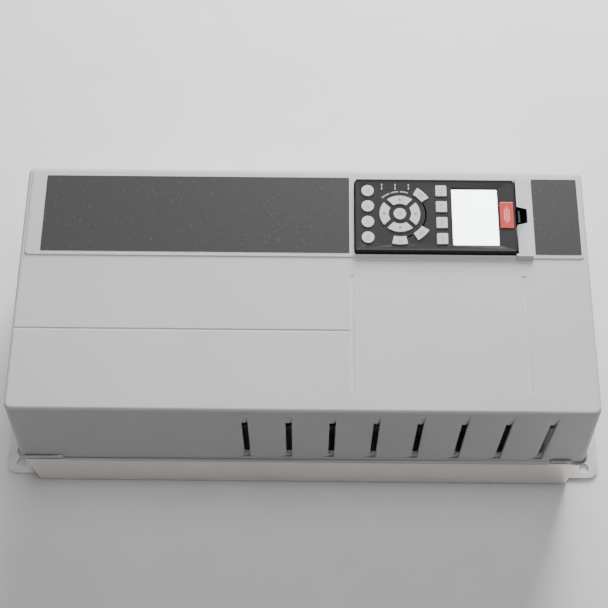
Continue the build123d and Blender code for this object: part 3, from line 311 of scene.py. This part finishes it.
sleeve = surface("capacitor_sleeve", (0.016, 0.022, 0.05), (0.024, 0.032, 0.07), 0.28, 500, 0.00002)
can_top = surface("can_top", (0.62, 0.63, 0.64), (0.72, 0.73, 0.74), 0.30, 900, 0.00001, metal=1.0)
can_low, can_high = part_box("dc_capacitors")
can_radius = 17.5 * MM
can_pitch = 38 * MM
can_columns = round((can_high.x - can_low.x - 2 * can_radius) / can_pitch) + 1
can_height = can_high.z - can_low.z
for column in range(can_columns):
    for row in range(2):
        foot = Vector((can_low.x + can_radius + column * can_pitch,
                       can_low.y + can_radius + row * can_pitch, can_low.z))
        bpy.ops.mesh.primitive_cylinder_add(vertices=48, radius=can_radius, depth=can_height,
                                            location=foot + Vector((0, 0, can_height / 2)))
        can = bpy.context.object
        can.data.materials.append(sleeve)
        can.data.materials.append(can_top)
        bpy.ops.object.mode_set(mode="EDIT")
        bpy.ops.mesh.select_mode(type="FACE")
        bpy.ops.mesh.select_all(action="DESELECT")
        bpy.ops.object.mode_set(mode="OBJECT")
        for face in can.data.polygons:
            face.select = face.normal.z > 0.9
        bpy.ops.object.mode_set(mode="EDIT")
        bpy.ops.mesh.inset(thickness=0.8 * MM)
        bpy.ops.mesh.inset(thickness=2.0 * MM)
        bpy.ops.mesh.extrude_region_move(TRANSFORM_OT_translate={"value": (0, 0, -0.9 * MM)})
        can.active_material_index = 1
        bpy.ops.object.material_slot_assign()
        bpy.ops.object.mode_set(mode="OBJECT")
        lip = can.modifiers.new("lip", "BEVEL")
        lip.width = 0.7 * MM
        lip.segments = 3
        lip.limit_method = "ANGLE"
        bpy.ops.object.modifier_apply(modifier=lip.name)
        scores = [block(foot + Vector((0, 0, can_height - 0.85 * MM)), (22 * MM, 0.9 * MM, 0.5 * MM),
                        0.15 * MM, turn) for turn in (pi / 4, -pi / 4)]
        for score in scores:
            score.data.materials.append(can_top)
        can = joined([can] + scores, f"capacitor_{column + 1}_{row + 1}")
        bpy.ops.object.shade_smooth_by_angle(angle=radians(40))
        bpy.ops.object.transform_apply(location=True, rotation=True, scale=True)
        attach(can, "chassis")
        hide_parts("dc_capacitors")

# ---------------------------------------------------------------- filter coils and chokes
# Ferrite rings with single turns of enamelled wire, and two laminated chokes wound with the same
# wire over a bobbin.

ferrite = surface("ferrite_coat", (0.05, 0.13, 0.075), (0.07, 0.17, 0.10), 0.40, 900, 0.00003)
enamel = surface("enamel_wire", (0.40, 0.15, 0.05), (0.50, 0.20, 0.075), 0.25, 500, 0.000004, metal=0.8)
refined("filter_coils", ferrite, "chassis", "ferrite")
coil_low, coil_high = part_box("filter_coils")
coil_radius = (coil_high.x - coil_low.x) / 2
coil_height = coil_high.z - coil_low.z
coil_ring = 11 * MM
turn_count = 22
loop_radius = 4.4 * MM
wire_radius = 0.55 * MM
wires = []
for coil_y in (coil_low.y + coil_radius, coil_high.y - coil_radius):
    for number in range(turn_count):
        angle = 2 * pi * number / turn_count
        place = Vector((coil_low.x + coil_radius + coil_ring * cos(angle),
                        coil_y + coil_ring * sin(angle), coil_low.z + coil_height / 2 + 0.35 * MM))
        bpy.ops.mesh.primitive_torus_add(location=place, rotation=(pi / 2, 0, angle),
                                         major_radius=loop_radius, minor_radius=wire_radius,
                                         major_segments=20, minor_segments=6)
        wire = bpy.context.object
        wire.scale = (1, (coil_height / 2 + 0.25 * MM) / (loop_radius + wire_radius), 1)
        wires.append(wire)
turns = joined(wires, "coil_turns")
bpy.ops.object.shade_smooth_by_angle(angle=radians(60))
settled(turns, enamel, "chassis", "winding_copper")

winding = bpy.data.materials.new("choke_winding")
winding.use_nodes = True
nodes, links, shader, coords = node_chain(winding)
# The winding's colour runs in bands up the choke, dark in the grooves between turns and light on their
# crowns: painted shade, with a bump of the same bands.
turn_shade_bands = nodes.new("ShaderNodeTexWave")
turn_shade_bands.bands_direction = "Z"
turn_shade_bands.inputs["Scale"].default_value = 105
turn_shade_bands.inputs["Distortion"].default_value = 0.6
links.new(coords.outputs["Object"], turn_shade_bands.inputs["Vector"])
two_tone(nodes, links, shader, turn_shade_bands.outputs["Fac"], (0.20, 0.07, 0.025), (0.50, 0.21, 0.08))
shader.inputs["Metallic"].default_value = 0.7
shader.inputs["Roughness"].default_value = 0.32
bumped(nodes, links, shader, turn_shade_bands.outputs["Fac"], 0.0005)
refined("choke_windings", winding, "chassis", "winding_copper")

# ---------------------------------------------------------------- parts on the boards
# Flat moulded packages soldered to the power board and the control card by tinned legs. They
# stay under 3 mm high, so that the space kept free over the power board is still free.

case_resin = surface("case_resin", (0.02, 0.02, 0.022), (0.035, 0.035, 0.038), 0.42, 1500, 0.00002)
tin = surface("tinned_legs", (0.66, 0.66, 0.64), (0.76, 0.76, 0.74), 0.25, 700, 0.000004, metal=1.0)
case_rise = 0.3 * MM
case_height = 2.2 * MM
leg_pitch = 2.0 * MM
cases = []
legs = []


def package(place, length, width):
    """A case standing on the board with a row of legs along each long side."""
    cases.append(block(place + Vector((0, 0, case_rise + case_height / 2)),
                       (length, width, case_height), 0.35 * MM))
    count = int(length / leg_pitch) - 1
    for side in (-1, 1):
        for number in range(count):
            along = (number - (count - 1) / 2) * leg_pitch
            legs.append(block(place + Vector((along, side * (width / 2 + 0.5 * MM), 0.5 * MM)),
                              (0.6 * MM, 1.4 * MM, 1.0 * MM), 0.12 * MM))


board_low, board_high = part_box("power_board")
for row in range(3):
    for column in range(4):
        package(Vector((board_low.x + (62 + 30 * column) * MM, 4 * MM + 18 * row * MM, board_high.z)),
                (16 if column % 2 else 11) * MM, 8 * MM)
card_low, card_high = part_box("control_card")
for along, length in ((0.30, 14), (0.48, 9), (0.62, 9)):
    package(Vector((card_low.x + along * (card_high.x - card_low.x), card_high.y - 13 * MM,
                    card_high.z)), length * MM, 8 * MM)
settled(joined(cases, "board_cases"), case_resin, "chassis", "sensor_plastic")
settled(joined(legs, "soldered_legs"), tin, "chassis", "screw_steel")

# ---------------------------------------------------------------- terminals and cable end
# Glass-filled terminal blocks, zinc-plated clamps and shield plate, and the pressed entry plate.

terminal_grey = surface("terminal_grey", (0.12, 0.125, 0.13), (0.16, 0.165, 0.17), 0.5, 1400, 0.00003)
pressed_zinc = surface("pressed_zinc", (0.52, 0.53, 0.54), (0.64, 0.65, 0.66), 0.36, 700, 0.00001,
                       metal=0.9, cloud=45)
for node in ("mains_terminals", "motor_terminals"):
    refined(node, terminal_grey, "chassis", "terminal_plastic")
coat("shield_plate", pressed_zinc)
refined("cable_clamps", pressed_zinc, "chassis", "clamp_steel")
refined("entry_plate", pressed_zinc, "chassis", "entry_steel")

# ---------------------------------------------------------------- control parts
# A black moulded tray over the chokes carries the control card, its plug-in terminals and the
# socket for the control panel.

tray_plastic = surface("tray_plastic", (0.04, 0.04, 0.043), (0.06, 0.06, 0.064), 0.5, 1500, 0.00002)
terminal_green = surface("terminal_green", (0.02, 0.20, 0.09), (0.03, 0.27, 0.13), 0.42, 1200, 0.00002)
coat("control_tray", tray_plastic)
coat("panel_socket", tray_plastic)
coat("control_terminals", terminal_green)

# ---------------------------------------------------------------- front cover
# One light-grey moulding with a fine spark-eroded texture, drafted walls and slanting louvres;
# it snaps on over the base. Cradle and bridge for the control panel are a second moulding.

cover_plastic = bpy.data.materials.new("cover_plastic")
cover_plastic.use_nodes = True
nodes, links, shader, coords = node_chain(cover_plastic)
cloud = spread(nodes, links, noise_on(nodes, links, coords, 14), 0, 1)
skin = two_tone(nodes, links, shader, cloud, (0.545, 0.548, 0.545), (0.575, 0.578, 0.575))
specks = nodes.new("ShaderNodeTexVoronoi")
specks.inputs["Scale"].default_value = 55
links.new(coords.outputs["Object"], specks.inputs["Vector"])
dirt = nodes.new("ShaderNodeMix")
dirt.data_type = "RGBA"
dirt.inputs["B"].default_value = (0.25, 0.24, 0.22, 1)
links.new(skin.outputs["Result"], dirt.inputs["A"])
links.new(spread(nodes, links, specks.outputs["Distance"], 0.7, 0.0, 0.012, 0.022), dirt.inputs["Factor"])
links.new(dirt.outputs["Result"], shader.inputs["Base Color"])
grain = noise_on(nodes, links, coords, 1900, 2)
links.new(spread(nodes, links, grain, 0.46, 0.58), shader.inputs["Roughness"])
bumped(nodes, links, shader, grain, 0.000035)
crease_y = -38.7 * MM
crease_width = 2.2 * MM


def in_crease(face):
    """The two sloping faces of the crease, which would otherwise be smoothed away."""
    return (abs(face.center.y - crease_y) < crease_width / 2 and abs(face.normal.x) < 0.02
            and 0.4 < abs(face.normal.y) < 0.6)


refined("cover_front", cover_plastic, "front_cover", "cover_plastic", flat=in_crease)
for node in ("cover_sides", "cover_ends"):
    refined(node, cover_plastic, "front_cover", "cover_plastic")

# The faces of the cradle's pocket and finger notch are coloured near-black as painted shade for the deep
# pocket, behind the light bridge that shows on the front.
cradle_skin = refined("panel_cradle", cover_plastic, "front_cover", "cradle_plastic")
pocket_painted_shade = surface("pocket_painted_shade", (0.006, 0.006, 0.006), (0.011, 0.011, 0.011), 0.6, 1500, 0.00002)
cradle_skin.data.materials.append(pocket_painted_shade)
front_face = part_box("cover_front")[1].z - 1.0 * MM
bridge_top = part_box("panel_cradle")[1].z
latch_low, latch_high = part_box("panel_latch")
for face in cradle_skin.data.polygons:
    beside_latch = latch_low.y - 6 * MM < face.center.y < latch_high.y + 6 * MM
    in_notch = beside_latch and face.center.x < latch_high.x + 5.8 * MM and abs(face.normal.z) < 0.9
    if face.center.z < front_face - 0.1 * MM or (in_notch and face.center.z < bridge_top - 0.2 * MM):
        face.material_index = 1

# ---------------------------------------------------------------- label bands
# Dark grey printed polyester film, set into the raised field; a little satin, with dust.

label_film = bpy.data.materials.new("label_film")
label_film.use_nodes = True
nodes, links, shader, coords = node_chain(label_film)
shader.inputs["Specular IOR Level"].default_value = 0.15
dust = noise_on(nodes, links, coords, 420, 4)
two_tone(nodes, links, shader, spread(nodes, links, dust, 0, 1, 0.62, 0.74), (0.056, 0.056, 0.058),
         (0.100, 0.096, 0.090))
weave = noise_on(nodes, links, coords, 1500, 2)
links.new(spread(nodes, links, weave, 0.42, 0.52), shader.inputs["Roughness"])
bumped(nodes, links, shader, weave, 0.00002)
coat("long_label_band", label_film)
coat("short_label_band", label_film)

# ---------------------------------------------------------------- control panel
# A plug-in keypad: dark grey two-part housing, silicone keys, three light bars, a pale display
# behind a clear window and a red badge plate with a plain embossed device.

panel_plastic = surface("panel_plastic", (0.021, 0.021, 0.023), (0.028, 0.028, 0.030), 0.50, 1900, 0.00003)
panel_plastic.node_tree.nodes["Principled BSDF"].inputs["Specular IOR Level"].default_value = 0.15
# The latch is near-black too, as painted shade for the finger notch it sits in.
latch_painted_shade = surface("latch_painted_shade", (0.006, 0.006, 0.006), (0.011, 0.011, 0.011), 0.55, 1500, 0.00002)
refined("panel_front", panel_plastic, "control_panel", "panel_plastic")
refined("panel_back", panel_plastic, "control_panel", "panel_plastic")
coat("panel_plug", dark_plastic)
refined("panel_latch", latch_painted_shade, "panel_latch", "fan_black")
coat("key_domes", screw_zinc)

lens = surface("light_lens", (0.33, 0.33, 0.33), (0.40, 0.40, 0.39), 0.35, 900, 0.00001)
coat("light_guides", lens)
badge_red = surface("badge_red", (0.60, 0.035, 0.03), (0.68, 0.05, 0.042), 0.32, 900, 0.00001)
refined("panel_badge", badge_red, "control_panel", "badge_red")

glowing_display_face = bpy.data.materials.new("glowing_display_face")
glowing_display_face.use_nodes = True
nodes, links, shader, coords = node_chain(glowing_display_face)
shade = spread(nodes, links, noise_on(nodes, links, coords, 30), 0, 1)
two_tone(nodes, links, shader, shade, (0.80, 0.815, 0.82), (0.87, 0.88, 0.885))
shader.inputs["Roughness"].default_value = 0.4
# The display's face glows by emission: painted light that makes it bright white, as if backlit.
shader.inputs["Emission Color"].default_value = (0.9, 0.93, 0.95, 1)
shader.inputs["Emission Strength"].default_value = 2.6
coat("display_module", glowing_display_face)

display_clear = bpy.data.materials.new("display_clear")
display_clear.use_nodes = True
nodes, links, shader, coords = node_chain(display_clear)
shader.inputs["Base Color"].default_value = (0.95, 0.96, 0.96, 1)
shader.inputs["Transmission Weight"].default_value = 1.0
shader.inputs["IOR"].default_value = 1.3
smear = noise_on(nodes, links, coords, 60, 3)
links.new(spread(nodes, links, smear, 0.02, 0.09), shader.inputs["Roughness"])
coat("display_window", display_clear)

# ---------------------------------------------------------------- keys
# Light grey silicone caps, matt, with printed marks that stand a hair above the caps.

key_silicone = surface("key_silicone", (0.59, 0.585, 0.62), (0.635, 0.63, 0.665), 0.62, 1600, 0.000015)
key_nodes = sorted(node for node in frame["nodes"] if node.startswith("key_") and node != "key_domes")
for node in key_nodes:
    refined(node, key_silicone, node, "key_rubber", angle=40)

key_ink = surface("key_ink", (0.16, 0.16, 0.175), (0.20, 0.20, 0.215), 0.55, 900, 0.000004)
key_shade = surface("key_shade", (0.36, 0.355, 0.385), (0.41, 0.405, 0.435), 0.55, 900, 0.000004)
ink_thick = 0.06 * MM
ok_low, ok_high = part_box("key_ok")
ring_middle = (ok_low + ok_high) / 2
arrow_keys = ("key_up", "key_left", "key_down", "key_right")
for node in key_nodes:
    low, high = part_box(node)
    centre = (low + high) / 2
    centre.z = high.z + ink_thick / 2
    outward = Vector((centre.x - ring_middle.x, centre.y - ring_middle.y, 0))
    if node in arrow_keys:
        heading = atan2(outward.y, outward.x)
        bpy.ops.mesh.primitive_cylinder_add(
            vertices=3, radius=1.7 * MM, depth=ink_thick, rotation=(0, 0, heading - pi / 2),
            location=centre + outward.normalized() * 0.6 * MM)
        mark = bpy.context.object
        bpy.ops.object.transform_apply(location=False, rotation=True, scale=True)
        soft = mark.modifiers.new("soft", "BEVEL")
        soft.width = 0.02 * MM
        bpy.ops.object.modifier_apply(modifier=soft.name)
        mark.name = node + "_mark"
        settled(mark, key_ink, node, "label_dark")
        continue
    turn = 0.0
    rows, length = 2, 5.6 * MM
    if node in ("key_back", "key_cancel"):
        turn = atan2(outward.y, outward.x)
        length = 5.0 * MM
    elif node in ("key_hand", "key_off", "key_auto", "key_reset", "key_ok"):
        length = 4.4 * MM
    strokes = []
    for row in range(rows):
        for dash, share in ((-1, 0.46), (1, 0.38)):
            aside = (row - (rows - 1) / 2) * 1.5 * MM
            along = dash * length * 0.26
            offset = Vector((aside * cos(turn) - along * sin(turn), aside * sin(turn) + along * cos(turn), 0))
            strokes.append(block(centre + offset, (0.8 * MM, length * share, ink_thick), 0.01 * MM, turn))
    settled(joined(strokes, node + "_mark"), key_shade, node, "label_dark")

# Printed on the panel's face: a long and a short arc beside the ring and three short legends
# over the light bars, all plain strokes.
panel_ink = surface("panel_ink", (0.42, 0.42, 0.43), (0.48, 0.48, 0.49), 0.5, 900, 0.000004)
face_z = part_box("panel_front")[1].z - 0.3 * MM
arc_radius = 21.2 * MM
arc_width = 1.1 * MM
arc_steps = 24
prints = []
for start, sweep in ((27, 57), (-63, 11)):       # degrees, swept clockwise
    bpy.ops.mesh.primitive_cube_add(
        size=1, scale=(arc_width, 0.02 * MM, ink_thick), rotation=(0, 0, radians(start)),
        location=(ring_middle.x + arc_radius * cos(radians(start)),
                  ring_middle.y + arc_radius * sin(radians(start)), face_z + ink_thick / 2))
    arc = bpy.context.object
    bpy.ops.object.transform_apply(location=True, rotation=True, scale=True)
    heading = Vector((-sin(radians(start)), cos(radians(start)), 0))
    for face in arc.data.polygons:
        face.select = face.normal.dot(heading) < -0.9
    bpy.ops.object.mode_set(mode="EDIT")
    bpy.ops.mesh.select_mode(type="FACE")
    bpy.ops.mesh.spin(steps=arc_steps, angle=radians(sweep), center=(ring_middle.x, ring_middle.y, face_z),
                      axis=(0, 0, 1))
    bpy.ops.mesh.select_all(action="SELECT")
    bpy.ops.mesh.normals_make_consistent(inside=False)
    bpy.ops.object.mode_set(mode="OBJECT")
    prints.append(arc)
light_low, light_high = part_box("light_guides")
for number in range(3):
    x = light_low.x + 0.5 * number * (light_high.x - light_low.x) + 0.5 * MM
    y = light_high.y + 4.2 * MM
    for dash, share in ((-1, 0.45), (1, 0.36)):
        prints.append(block((x, y + dash * 1.5 * MM, face_z + ink_thick / 2),
                            (0.9 * MM, 5.6 * MM * share, ink_thick), 0.01 * MM))
settled(joined(prints, "panel_print"), panel_ink, "control_panel", "label_dark")

badge_low, badge_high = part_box("panel_badge")
badge_tint = surface("badge_tint", (0.80, 0.28, 0.24), (0.86, 0.34, 0.30), 0.35, 900, 0.000004)
badge_middle = (badge_low + badge_high) / 2
device = [block(Vector((badge_middle.x + step * 1.7 * MM, badge_middle.y, badge_high.z + 0.05 * MM)),
                (1.1 * MM, (15 - 4 * abs(step)) * MM, 0.25 * MM), 0.08 * MM) for step in (-1, 0, 1)]
settled(joined(device, "badge_device"), badge_tint, "control_panel", "badge_red")

# ---------------------------------------------------------------- floor, light and camera
# A pale sweep, a large soft light low on the far side, which leaves the near wall dark, and a
# second one overhead, which lights the floor.

floor_paint = surface("floor_paint", (0.80, 0.80, 0.80), (0.83, 0.83, 0.83), 0.7, 300, 0.00001)
bpy.ops.object.select_all(action="DESELECT")
bpy.ops.mesh.primitive_plane_add(size=6, location=(0, 0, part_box("back_plate")[0].z - 0.0002))
floor = bpy.context.object
floor.name = "floor"
floor.data.materials.append(floor_paint)

world = bpy.data.worlds.new("studio")
bpy.context.scene.world = world
world.use_nodes = True
world.node_tree.nodes["Background"].inputs["Color"].default_value = (1, 1, 1, 1)
world.node_tree.nodes["Background"].inputs["Strength"].default_value = 0.02


def softbox(name, place, aim, size, power):
    bpy.ops.object.light_add(type="AREA", location=place)
    light = bpy.context.object
    light.name = name
    light.data.size = size
    light.data.energy = power
    light.rotation_euler = (Vector(aim) - Vector(place)).to_track_quat("-Z", "Y").to_euler()


softbox("far_light", (0.35, 1.5, 0.95), (0, 0.05, 0.12), 1.0, 70)
softbox("top_light", (0.1, -0.05, 2.4), (0, 0, 0.1), 1.2, 31)

view_turn = radians(0.58)
view_height = radians(66.44)
view_aim = Vector((0.2, 3.9, 120)) * MM
view_away = 1.0463
back = Vector((sin(view_turn) * cos(view_height), -cos(view_turn) * cos(view_height), sin(view_height)))
bpy.ops.object.camera_add(location=view_aim + back * view_away)
camera = bpy.context.object
camera.rotation_euler = (-back).to_track_quat("-Z", "Y").to_euler()
camera.data.lens = 74.78
camera.data.sensor_width = 36
bpy.context.scene.camera = camera
